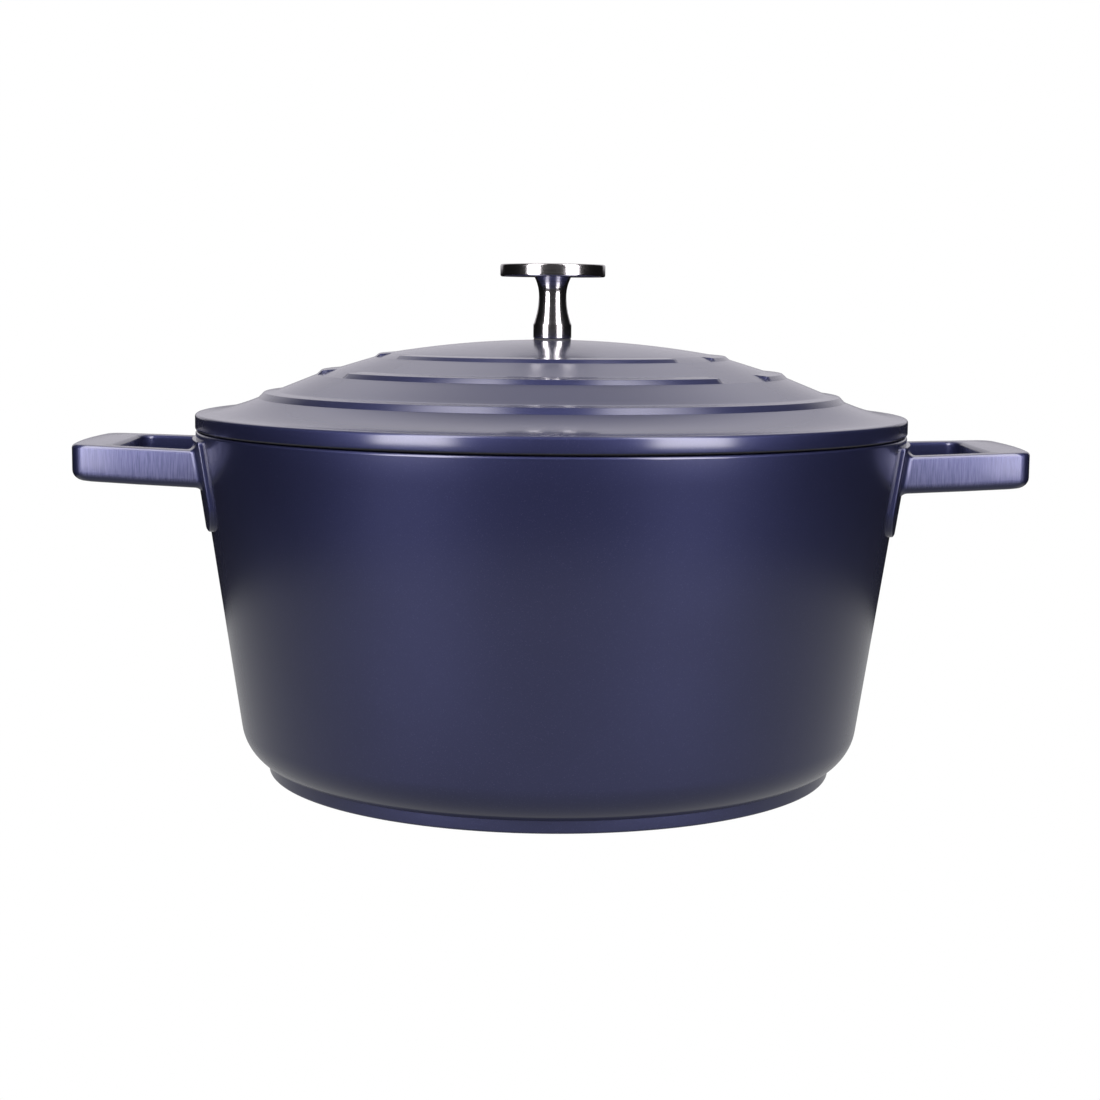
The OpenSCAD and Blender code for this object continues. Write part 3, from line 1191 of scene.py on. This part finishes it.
@dataclass
class Lid:
    """The lid's casting: stepped dome, edge band, skirt, drip rings and the boss for the screw."""

    paint: bpy.types.Material
    coating: bpy.types.Material
    place: Place = field(default_factory=lambda: Place.of("lid_shell"))
    gasket: Place = field(default_factory=lambda: Place.of("knob_gasket"))
    washer: Place = field(default_factory=lambda: Place.of("flat_washer"))
    pot: Place = field(default_factory=lambda: Place.of("pot_body"))
    seat_gap: float = 0.3
    band_h: float = 5.6
    thick: float = 3.2
    seat_round: float = 0.9
    edge_round: float = 1.0
    edge_run: float = 21.5
    edge_rise: float = 5.1
    edge_power: float = 1.7
    pitch: float = 20.0
    slopes: tuple[float, float] = (22.0, 17.0)
    ridge_h: tuple[float, float, float] = (2.0, 1.6, 1.2)
    ridge_face: tuple[float, float, float] = (1.9, 1.7, 1.5)
    ridge_back: tuple[float, float, float] = (6.1, 6.9, 5.7)
    crest_round: float = 0.5
    foot_round: float = 0.5
    cap_step: float = 5.0
    cap_lift: float = 1.4
    cap_rise: float = 4.9
    skirt_t: float = 2.5
    skirt_clear: float = 0.6
    drip_h: float = 1.6
    drip_half: float = 1.4
    boss_margin: float = 2.0
    hole_r: float = 2.75
    wall_draft: float = 8.3
    wall_t: float = 3.5
    coat_seat: float = 3.0
    coat_down: float = -0.3
    coat_drop: float = 1.2
    turn: float = -8.0
    gap_low: float = 9.95
    gap_high: float = 10.55
    gaps: int = 3

    @property
    def edge_r(self) -> float:
        """Outside radius of the lid."""
        return self.place.radius

    @property
    def seat_z(self) -> float:
        """Height of the face that rests on the rim."""
        return self.pot.high.z + self.seat_gap

    @property
    def band_z(self) -> float:
        """Height of the edge band's top."""
        return self.seat_z + self.band_h

    @property
    def feet(self) -> list[Point]:
        """Radius and height of each ridge's foot, from the outermost inwards."""
        rises = [0.0]
        for slope in self.slopes:
            rises.append(rises[-1] + self.pitch * math.tan(math.radians(slope)))
        first = self.band_z + self.edge_rise
        return [(self.edge_r - self.edge_run - i * self.pitch, first + rise) for i, rise in enumerate(rises)]

    @property
    def cap(self) -> Point:
        """Radius and height of the edge of the dome's cap."""
        foot = self.feet[-1]
        return foot[0] - self.cap_step, foot[1] + self.cap_lift

    def cap_z(self, r: float) -> float:
        """Height of the cap's surface at a radius."""
        edge_r, edge_z = self.cap
        ball = (edge_r**2 + self.cap_rise**2) / (2 * self.cap_rise)
        return edge_z + self.cap_rise - ball + math.sqrt(ball**2 - r * r)

    def dome_z(self, r: float) -> float:
        """Height of the dome without its ridges.

        Args:
            r: The radius.

        Returns:
            The height.
        """
        feet = self.feet
        if r >= feet[0][0]:
            run = self.edge_r - self.edge_round - feet[0][0]
            share = max(0.0, (self.edge_r - self.edge_round - r) / run)
            return self.band_z + self.edge_rise * share**self.edge_power
        stops = [*feet, self.cap]
        for (r0, z0), (r1, z1) in zip(stops, stops[1:]):
            if r >= r1:
                return z1 + (z0 - z1) * (r - r1) / (r0 - r1)
        return self.cap_z(r)

    def build(self) -> bpy.types.Object:
        """Builds the lid and dresses it.

        Returns:
            The finished piece.
        """
        casting = Bench.turn("lid_casting", self._outline(), self._spans())
        first_gap = math.radians(90 + self.turn + self.gap_high)
        casting.data.transform(Matrix.Rotation(first_gap, 4, "Z"))
        self._open_gaps(casting)
        Bench.heal(casting)
        Bench.dress(casting, [self.paint, self.coating], self._coat)
        Bench.smooth(casting)
        return stand_in(casting, "lid_shell", Body.LID, Slot.PAINT)

    def _spans(self) -> list[tuple[float, int]]:
        """The stretches of the turn, finer where a ridge ends.

        Returns:
            Degrees and steps of each stretch.
        """
        gap = [(self.gap_high - self.gap_low, 1), (2 * self.gap_low, 18), (self.gap_high - self.gap_low, 1)]
        return [*gap, (FULL_TURN / self.gaps - 2 * self.gap_high, 76)] * self.gaps

    def _ridge(self, i: int) -> list[Point]:
        """The corners of one ridge, from its foot inwards.

        Args:
            i: Which ridge, from the outermost.

        Returns:
            Foot, crest and the end of its back, with the roundings between.
        """
        r, z = self.feet[i]
        back = r - self.ridge_back[i]
        before = (r + 2.5, self.dome_z(r + 2.5), 0)
        corners = [
            before,
            (r, z, self.foot_round),
            (r - self.ridge_face[i], z + self.ridge_h[i], self.crest_round),
            (back, self.dome_z(back), 6.0),
            (back - 3.0, self.dome_z(back - 3.0), 0),
        ]
        return rounded(corners, steps=4)

    def _outline(self) -> list[Point]:
        """Section of the lid, from the screw hole's top edge round to its bottom edge.

        Returns:
            The outline, closed.
        """
        seat_r = self.gasket.radius + 0.35
        seat_z = self.gasket.low.z
        top = [(seat_r, self.cap_z(seat_r))]
        top += [(r, self.cap_z(r)) for r in (10 + 5.2 * k for k in range(9))]
        for i in (2, 1, 0):
            top += list(reversed(self._ridge(i)))
        last = top[-1][0]
        first = self.edge_r - self.edge_round
        sweep = [last + (first - last) * k / 10 for k in range(1, 10)]
        top += [(r, self.dome_z(r)) for r in sweep]
        skirt_z = self.place.low.z
        skirt_r = self._skirt_r()
        inner_r = skirt_r - self.skirt_t
        edge = arc((first, self.band_z - self.edge_round), self.edge_round, 82, 0, 6)
        boss_r = self.washer.radius + self.boss_margin
        low = rounded(
            [
                (self.edge_r, self.seat_z + 2, 0),
                (self.edge_r, self.seat_z, self.seat_round),
                (skirt_r, self.seat_z, 0.5),
                (skirt_r, skirt_z, 0.7),
                (inner_r, skirt_z, 0.7),
                (inner_r, self.dome_z(inner_r) - self.thick, 2.0),
                (inner_r - 6, self.dome_z(inner_r - 6) - self.thick, 0),
            ],
            steps=4,
        )
        under = self._under(inner_r - 6, boss_r + 2)
        boss_z = self.washer.high.z
        boss = rounded(
            [
                under[-1] + (0,),
                (boss_r + 0.8, self.dome_z(boss_r) - self.thick, 0.5),
                (boss_r, boss_z, 0.5),
                (self.hole_r, boss_z, 0),
            ],
            steps=3,
        )
        hole = [(self.hole_r, boss_z), (self.hole_r, seat_z), (seat_r, seat_z)]
        return top + edge + low[1:] + under[1:-1] + boss + hole[1:] + top[:1]

    def _skirt_r(self) -> float:
        """Outside radius of the skirt: the cavity's at its lower edge, less the clearance."""
        draft = math.radians(self.wall_draft)
        drop = self.pot.high.z - self.place.low.z
        return self.edge_r - math.tan(draft) * drop - self.wall_t / math.cos(draft) - self.skirt_clear

    def _under(self, start: float, end: float) -> list[Point]:
        """The dome's underside with its drip rings.

        Args:
            start: Its outer radius.
            end: Its inner radius.

        Returns:
            The points, from outside to inside.
        """
        rings = [r - self.pitch / 2 for r, _ in self.feet]
        corners: list[tuple[float, float, float]] = [(start, self.dome_z(start) - self.thick, 0)]
        for (foot_r, foot_z), ring in zip(self.feet, rings, strict=True):
            corners.append((foot_r, foot_z - self.thick, 0.0))
            base = self.dome_z(ring) - self.thick
            corners.append((ring + self.drip_half + 0.6, self.dome_z(ring + 2.0) - self.thick, 0.5))
            corners.append((ring, base - self.drip_h, 0.35))
            corners.append((ring - self.drip_half - 0.6, self.dome_z(ring - 2.0) - self.thick, 0.5))
        made = rounded(corners + [(end, self.dome_z(end) - self.thick, 0)], steps=3)
        tail = made[-2][0]
        steps = 6
        cap = [tail + (end - tail) * k / steps for k in range(1, steps + 1)]
        return made[:-1] + [(r, self.dome_z(r) - self.thick) for r in cap]

    def _open_gaps(self, casting: bpy.types.Object) -> None:
        """Lowers the two inner ridges to the dome in the gaps.

        Args:
            casting: The turned lid.
        """
        for i in (1, 2):
            for r, z in self._ridge(i)[1:-1]:
                drop = z - self.dome_z(r)
                if drop > 0.01:
                    Bench.pick(casting, lambda p, r=r, z=z: self._in_gap(p, r, z))
                    bpy.ops.transform.translate(value=(0, 0, -drop * MM))
                    Bench.leave()

    def _in_gap(self, point: Vector, r: float, z: float) -> bool:
        """Whether a vertex is on a row of a ridge and within a gap.

        Args:
            point: The vertex, in millimetres.
            r: The row's radius.
            z: The row's height.

        Returns:
            True for such a vertex.
        """
        if abs(point.z - z) > 0.002 or abs(point.xy.length - r) > 0.002:
            return False
        angle = math.degrees(math.atan2(point.y, point.x)) - 90 - self.turn
        part = FULL_TURN / self.gaps
        return abs((angle + part / 2) % part - part / 2) < self.gap_low + 0.05

    def _coat(self, middle: Vector, normal: Vector) -> int:
        """The coating's slot for faces under the lid, the paint's for the rest.

        Args:
            middle: The face's middle in millimetres.
            normal: The face's normal.

        Returns:
            The slot's number.
        """
        r = middle.xy.length
        if r > self.edge_r - self.coat_seat:
            return int(normal.z < self.coat_down)
        return int(middle.z < self.dome_z(r) - self.coat_drop)


# ---------------------------------------------------------------------------------------------
# Knob and fixing
# ---------------------------------------------------------------------------------------------


@dataclass
class Knob:
    """The turned knob: a flat disc on a waisted stem."""

    steel: bpy.types.Material
    disc: Place = field(default_factory=lambda: Place.of("knob_disc"))
    stem: Place = field(default_factory=lambda: Place.of("knob_stem"))
    edge_round: float = 0.65
    crown: float = 0.35
    spigot_r: float = 3.2
    spigot_h: float = 2.6
    foot_r: float = 6.65
    foot_h: float = 4.9
    waist_r: float = 4.8
    waist_drop: float = 6.4
    top_r: float = 6.4
    bore_r: float = 2.55
    bore_h: float = 10.0
    steps: int = 160

    def build(self) -> list[bpy.types.Object]:
        """Builds the disc and the stem.

        Returns:
            Both pieces.
        """
        disc = Bench.turn("knob_disc_turned", self._disc(), [(FULL_TURN, self.steps)])
        stem = Bench.turn("knob_stem_turned", self._stem(), [(FULL_TURN, self.steps)])
        for piece, node in ((disc, "knob_disc"), (stem, "knob_stem")):
            Bench.dress(piece, [self.steel])
            Bench.smooth(piece)
            stand_in(piece, node, Body.LID, Slot.KNOB)
        return [disc, stem]

    def _disc(self) -> list[Point]:
        """Section of the disc, from the pocket for the spigot round to the middle of its top."""
        low, high = self.disc.low.z, self.disc.high.z
        edge = self.disc.radius
        shoulder = high - self.crown
        pocket = [(0, low + self.spigot_h), (self.spigot_r, low + self.spigot_h)]
        run = edge - 2 - self.spigot_r
        under = [(self.spigot_r + run * k / 5, low) for k in range(5)]
        rim = rounded(
            [
                (edge - 2, low, 0),
                (edge, low, self.edge_round),
                (edge, shoulder, self.edge_round),
                (edge - 2.5, shoulder + 0.06, 0),
            ],
            steps=6,
        )
        crown = [(edge - 2.5) * (1 - k / 8) for k in range(1, 9)]
        top = [(r, high - (self.crown - 0.06) * (r / (edge - 2.5)) ** 2) for r in crown]
        return pocket + under + rim + top

    def _stem(self) -> list[Point]:
        """Section of the stem, from its threaded bore round to the top of its spigot."""
        foot, top = self.stem.low.z, self.disc.low.z
        waist = top - self.waist_drop
        foot_top = foot + self.foot_h
        bore = [(0, foot + self.bore_h), (self.bore_r, foot + self.bore_h)]
        base = rounded([(self.bore_r, foot, 0), (self.foot_r, foot, 0.5), (self.foot_r, foot_top - 0.12, 0)], steps=4)
        base.append((self.foot_r, foot_top))
        run = waist - foot_top
        lower = [0.985, *(1 - k / 14 for k in range(1, 15))]
        upper = [k / 10 for k in range(1, 11)]
        swell = [(self.waist_r + (self.foot_r - self.waist_r) * s * s, waist - run * s) for s in lower]
        flare = [(self.waist_r + (self.top_r - self.waist_r) * s * s, waist + self.waist_drop * s) for s in upper]
        spigot = [(self.spigot_r, top), (self.spigot_r, self.stem.high.z), (0, self.stem.high.z)]
        return bore + base + swell + flare + spigot


@dataclass
class Fixing:
    """What holds the knob: a gasket above the lid, two washers and a screw below it."""

    rubber: bpy.types.Material
    steel: bpy.types.Material
    gasket: Place = field(default_factory=lambda: Place.of("knob_gasket"))
    washer: Place = field(default_factory=lambda: Place.of("flat_washer"))
    split: Place = field(default_factory=lambda: Place.of("lock_washer"))
    screw: Place = field(default_factory=lambda: Place.of("knob_screw"))
    hole_r: float = 2.75
    thread_r: float = 2.5
    thread_pitch: float = 0.8
    thread_depth: float = 0.4
    split_gap: float = 1.0
    split_lean: float = 25.0
    head_h: float = 3.0
    head_dome: float = 1.6
    slot_w: float = 1.2
    slot_depth: float = 1.5
    slot_run: float = 6.2

    def build(self) -> list[bpy.types.Object]:
        """Builds the four pieces.

        Returns:
            The pieces.
        """
        gasket = self._ring("knob_gasket_moulded", self.gasket, 0.2)
        washer = self._ring("flat_washer_stamped", self.washer, 0.18)
        rows = [
            (gasket, "knob_gasket", self.rubber, Slot.RUBBER),
            (washer, "flat_washer", self.steel, Slot.FIXING),
            (self._split_ring(), "lock_washer", self.steel, Slot.FIXING),
            (self._screw(), "knob_screw", self.steel, Slot.FIXING),
        ]
        for piece, node, coat, slot in rows:
            Bench.dress(piece, [coat])
            Bench.smooth(piece)
            stand_in(piece, node, Body.LID, slot)
        return [row[0] for row in rows]

    def _section(self, place: Place, edge: float) -> list[Point]:
        """A ring's section with rounded corners.

        Args:
            place: The ring's box.
            edge: The corners' radius.

        Returns:
            The section, closed.
        """
        low, high, outer = place.low.z, place.high.z, place.radius
        corners = [(self.hole_r, low), (outer, low), (outer, high), (self.hole_r, high)]
        made = rounded([(*corner, edge) for corner in corners], steps=3, closed=True)
        return made + made[:1]

    def _ring(self, name: str, place: Place, edge: float) -> bpy.types.Object:
        """A flat ring with rounded corners.

        Args:
            name: The piece's name.
            place: The ring's box.
            edge: The corners' radius.

        Returns:
            The ring.
        """
        return Bench.turn(name, self._section(place, edge), [(FULL_TURN, 96)])

    def _split_ring(self) -> bpy.types.Object:
        """The spring washer, cut through at a slant.

        Returns:
            The washer.
        """
        ring = self._ring("lock_washer_split", self.split, 0.15)
        outer = self.split.high.y
        middle = (self.split.low.z + self.split.high.z) / 2
        Bench.clear()
        bpy.ops.mesh.primitive_cube_add(size=1, location=(outer * MM, 0, middle * MM))
        blade = bpy.context.object
        Bench.edit()
        bpy.ops.transform.resize(value=(2 * outer * MM, self.split_gap * MM, 6 * MM))
        Bench.leave()
        for vertex in blade.data.vertices:
            vertex.co.y += math.tan(math.radians(self.split_lean)) * vertex.co.z
        bpy.ops.object.transform_apply()
        Bench.combine(ring, blade, "DIFFERENCE")
        return ring

    def _screw(self) -> bpy.types.Object:
        """The pan-head screw with its cross recess and the ridges of its thread.

        Returns:
            The screw.
        """
        head_z = self.screw.low.z
        neck = head_z + self.head_h
        head_r = self.screw.radius
        tip = self.screw.high.z
        turns = [math.radians(angle) for angle in range(0, 91, 9)]
        dome = [(head_r * math.sin(t), head_z + self.head_dome * (1 - math.cos(t))) for t in turns]
        count = int((tip - neck - 1) / self.thread_pitch)
        thread: list[Point] = []
        for k in range(count):
            z = neck + 0.6 + k * self.thread_pitch
            thread += [(self.thread_r, z), (self.thread_r - self.thread_depth, z + self.thread_pitch / 2)]
        outline = dome + [(head_r, neck), (self.thread_r, neck), *thread]
        outline += [(self.thread_r - 0.1, tip - 0.4), (self.thread_r - 0.5, tip), (0, tip)]
        screw = Bench.turn("knob_screw_turned", outline, [(FULL_TURN, 64)])
        for turn in (0, 1):
            Bench.clear()
            bpy.ops.mesh.primitive_cube_add(size=1, location=(0, 0, head_z * MM))
            blade = bpy.context.object
            Bench.edit()
            run = (self.slot_w, self.slot_run) if turn else (self.slot_run, self.slot_w)
            bpy.ops.transform.resize(value=(run[0] * MM, run[1] * MM, 2 * self.slot_depth * MM))
            Bench.leave()
            bpy.ops.object.transform_apply()
            Bench.combine(screw, blade, "DIFFERENCE")
        Bench.heal(screw)
        return screw


@dataclass
class InductionPlate:
    """The perforated steel plate pressed into the foot ring, as the CAD node gives it."""

    steel: bpy.types.Material
    node: str = "induction_plate"

    def build(self) -> bpy.types.Object:
        """Dresses the node.

        Returns:
            The node's object.
        """
        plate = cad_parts[self.node]
        plate.data.materials.clear()
        plate.data.materials.append(self.steel)
        return plate


# ---------------------------------------------------------------------------------------------
# Studio
# ---------------------------------------------------------------------------------------------


@dataclass
class Studio:
    """A white floor and background, two upright soft lights, two bars overhead and a pool of light below.

    Angles are in degrees: round Z from the front, or up from level. The bars' edges are shares of a unit direction.
    """

    light_from: float = 30.5
    light_to: float = 56.0
    light_feather: float = 2.5
    light_low: float = -8.5
    light_high: float = 60.0
    light: float = 12.0
    front: float = 0.06
    side: float = 0.01
    back: float = 1.0
    back_low: float = 0.68
    back_high: float = 0.25
    back_from: float = 138.0
    back_run: float = 14.0
    back_rise: tuple[float, float] = (-1.0, 4.0)
    back_brighten: tuple[float, float] = (18.0, 31.0)
    back_fade: tuple[float, float] = (33.0, 62.0)
    front_run: float = 15.0
    overhead: float = 0.07
    canopy: tuple[float, float] = (22.0, 50.0)
    zenith: tuple[float, float] = (60.0, 75.0)
    bar: float = 6.0
    bar_inner: tuple[float, float] = (0.12, 0.24)
    bar_outer: tuple[float, float] = (0.30, 0.60)
    bar_height: tuple[float, float] = (0.70, 0.80)
    bar_ends: tuple[float, float] = (0.12, 0.32)
    tint: Colour = (1.0, 0.965, 1.03)
    pool: float = 0.4
    pool_r: float = 330.0
    pool_feather: float = 45.0
    floor_size: float = 30000.0
    floor_glow: float = 1.0

    def build(self) -> None:
        """Makes the world, the floor and the pool of light round the pot."""
        self._world()
        self._floor()
        self._pool()

    def _edge(self, angle: float) -> tuple[float, float]:
        """Both sides of a soft edge at an angle."""
        return angle - self.light_feather, angle + self.light_feather

    def _world(self) -> None:
        """Lights the scene by direction, and shows plain white behind it."""
        world = bpy.data.worlds.new("studio")
        bpy.context.scene.world = world
        world.use_nodes = True
        shader = Shader(world.node_tree)
        way = shader.node("ShaderNodeTexCoord", output="Generated")
        ahead = 0.0 - shader.axis(way, "Y")
        across = shader.axis(way, "X")
        height = shader.axis(way, "Z")
        to_degrees = 180 / math.pi
        round_z = abs(shader.node("ShaderNodeMath", {"operation": "ARCTAN2"}, {0: across, 1: ahead})) * to_degrees
        up = shader.node("ShaderNodeMath", {"operation": "ARCSINE"}, {0: height}) * to_degrees
        sides = self._edge(self.light_from), self._edge(self.light_to)
        ends = self._edge(self.light_low), self._edge(self.light_high)
        strip = shader.window(round_z, *sides) * shader.window(up, *ends)
        behind = shader.step(round_z, self.back_from, self.back_from + self.back_run)
        behind = behind * shader.step(up, *self.back_rise)
        fall = self.back_low + (self.back - self.back_low) * shader.step(up, *self.back_brighten)
        fall = fall + (self.back_high - self.back) * shader.step(up, *self.back_fade)
        front = 1.0 - shader.step(round_z, self.light_to, self.light_to + self.front_run)
        above = shader.step(up, *self.zenith)
        bar = shader.window(abs(across), self.bar_inner, self.bar_outer)
        bar = bar * shader.step(height, *self.bar_height) * (1.0 - shader.step(abs(ahead), *self.bar_ends))
        level = self.side + (self.front - self.side) * front
        level = level + (self.overhead - level) * shader.step(up, *self.canopy) + fall * behind
        level = level * (1.0 - above) + self.overhead * above + self.light * strip + self.bar * bar
        seen = shader.node("ShaderNodeLightPath", output="Is Camera Ray")
        strength = level * (1.0 - seen) + seen
        hue = shader.mix(seen, self.tint, (1.0, 1.0, 1.0))
        glow = shader.node("ShaderNodeBackground", inputs={"Color": hue, "Strength": strength})
        shader.node("ShaderNodeOutputWorld", inputs={"Surface": glow})

    def _pool(self) -> None:
        """Lets the paint mirror a soft round of light on the floor, which itself isn't seen."""
        Bench.clear()
        bpy.ops.mesh.primitive_circle_add(vertices=96, radius=(self.pool_r + self.pool_feather) * MM, fill_type="NGON")
        pool = bpy.context.object
        pool.name = "floor_light"
        Bench.edit()
        bpy.ops.transform.translate(value=(0, 0, -0.1 * MM))
        Bench.leave()
        coat = bpy.data.materials.new("floor_light")
        coat.use_nodes = True
        shader = Shader(coat.node_tree)
        place = shader.place()
        flat = shader.node("ShaderNodeVectorMath", {"operation": "LENGTH"}, {0: place}, output="Value")
        fade = 1.0 - shader.step(flat, (self.pool_r - self.pool_feather) * MM, (self.pool_r + self.pool_feather) * MM)
        inputs = {"Color": (1, 1, 1, 1), "Strength": fade * self.pool}
        glow = shader.node("ShaderNodeEmission", inputs=inputs)
        shader.node("ShaderNodeOutputMaterial", inputs={"Surface": glow})
        pool.data.materials.append(coat)
        pool.visible_camera = False
        pool.visible_shadow = False

    def _floor(self) -> None:
        """Lays a pale floor that the paint doesn't mirror, clear when seen from below."""
        Bench.clear()
        bpy.ops.mesh.primitive_plane_add(size=self.floor_size * MM)
        floor = bpy.context.object
        floor.name = "floor"
        coat = bpy.data.materials.new("pale_floor")
        coat.use_nodes = True
        shader = Shader(coat.node_tree)
        glow = shader.node("ShaderNodeEmission", inputs={"Color": (1, 1, 1, 1), "Strength": self.floor_glow})
        clear = shader.node("ShaderNodeBsdfTransparent")
        below = shader.node("ShaderNodeNewGeometry", output="Backfacing")
        surface = shader.node("ShaderNodeMixShader", inputs={0: below, 1: glow, 2: clear})
        shader.node("ShaderNodeOutputMaterial", inputs={"Surface": surface})
        floor.data.materials.append(coat)
        floor.visible_glossy = False
        floor.visible_diffuse = False


@dataclass
class Camera:
    """The camera, a little above the lid and square to the handles."""

    away: float = 706.7
    height: float = 164.35
    aside: float = -6.9
    pitch: float = 7.074
    yaw: float = -0.6
    roll: float = 0.535
    lens: float = 65.73
    shift: float = -0.00156

    def build(self) -> None:
        """Sets up the camera."""
        data = bpy.data.cameras.new("camera")
        data.lens = self.lens
        data.shift_x = self.shift
        data.clip_start = 0.01
        camera = bpy.data.objects.new("camera", data)
        bpy.context.scene.collection.objects.link(camera)
        turn = Matrix.Rotation(math.radians(self.yaw), 4, "Z")
        tilt = Matrix.Rotation(math.radians(90 - self.pitch), 4, "X")
        lean = Matrix.Rotation(math.radians(self.roll), 4, "Z")
        where = Matrix.Translation(Vector((self.aside, -self.away, self.height)) * MM)
        camera.matrix_world = where @ turn @ tilt @ lean
        bpy.context.scene.camera = camera


def report(pieces: Iterable[bpy.types.Object]) -> None:
    """Logs each piece's name and its number of faces."""
    for piece in pieces:
        LOG.info("%s: %d faces", piece.name, len(piece.data.polygons))


def main() -> None:
    """Builds the pot, the lid, the knob and its fixing, then the studio and the camera."""
    logging.basicConfig(level=logging.INFO, format="%(name)s %(message)s")
    bpy.context.scene.view_settings.view_transform = "Standard"
    Camera().build()
    paint = SatinPaint().make()
    coating = NonStick().make()
    report([Pot(paint, coating).build()])
    report([InductionPlate(TurnedSteel("plate_steel", roughness=0.32, ring_grain=0.6).make()).build()])
    report([Lid(paint, coating).build()])
    report(Knob(TurnedSteel("knob_steel").make()).build())
    fixing_steel = TurnedSteel("fixing_steel", roughness=0.28, ring_grain=0.5).make()
    report(Fixing(MouldedRubber().make(), fixing_steel).build())
    Studio().build()


if __name__ == "__main__":
    main()
